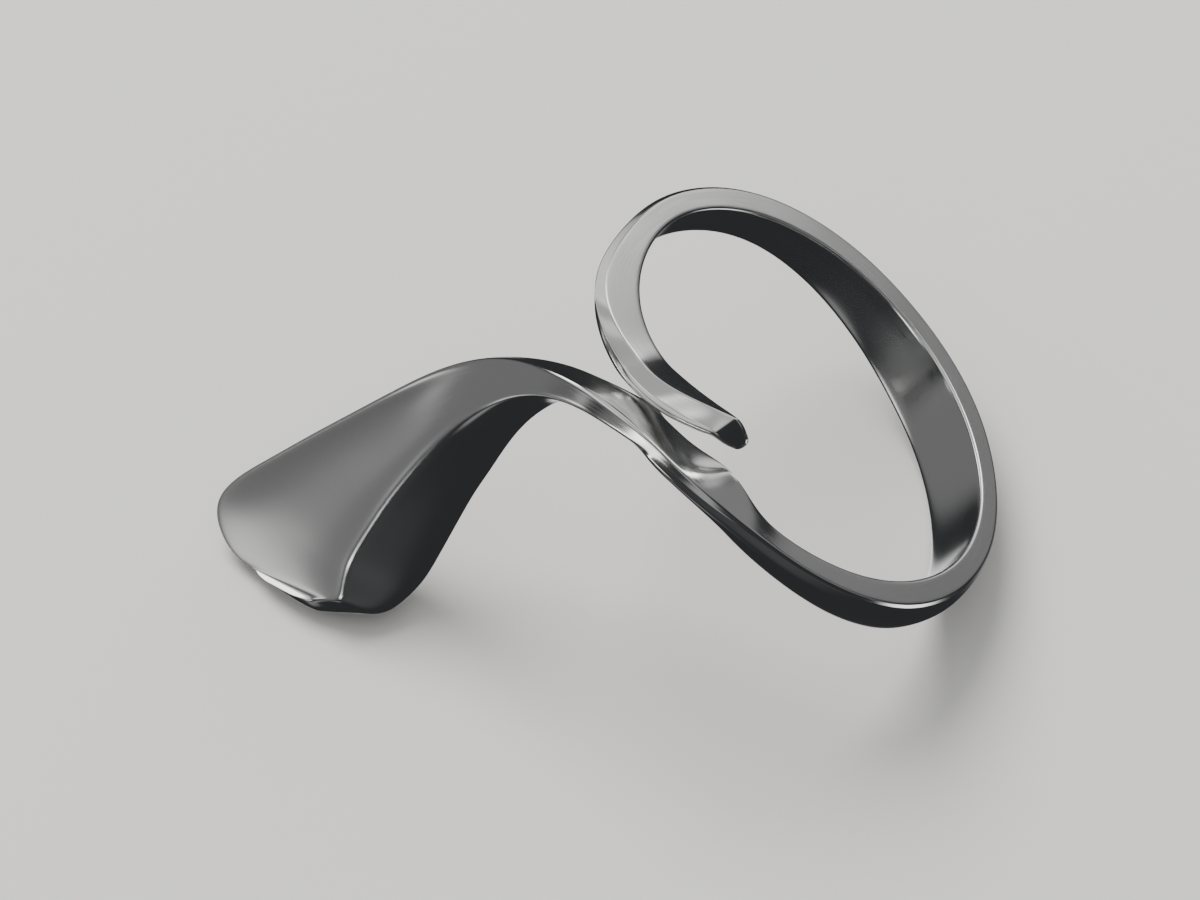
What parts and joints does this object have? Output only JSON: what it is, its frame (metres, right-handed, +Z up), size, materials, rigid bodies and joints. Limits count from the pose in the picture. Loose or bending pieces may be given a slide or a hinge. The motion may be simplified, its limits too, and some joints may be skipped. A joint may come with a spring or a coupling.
{
  "type": "adjustable ring",
  "caption": "Open, one-piece polished silver ring: a flat-sided springy band whose one end lifts clear and whose other end runs over a hump into a teardrop.",
  "frame": {"origin": "on the table, under the middle of the bounding box of the lying ring", "axes": "+Z up from the table, +X from the teardrop end towards the finger loop, +Y away from the side seen in the picture"},
  "size_m": [0.0316, 0.02, 0.0151],
  "materials": {
    "silver": "polished silver with a fine hairline satin on the flat side of the band"
  },
  "bodies": {
    "root": {"ring": "silver"}
  },
  "joints": []
}
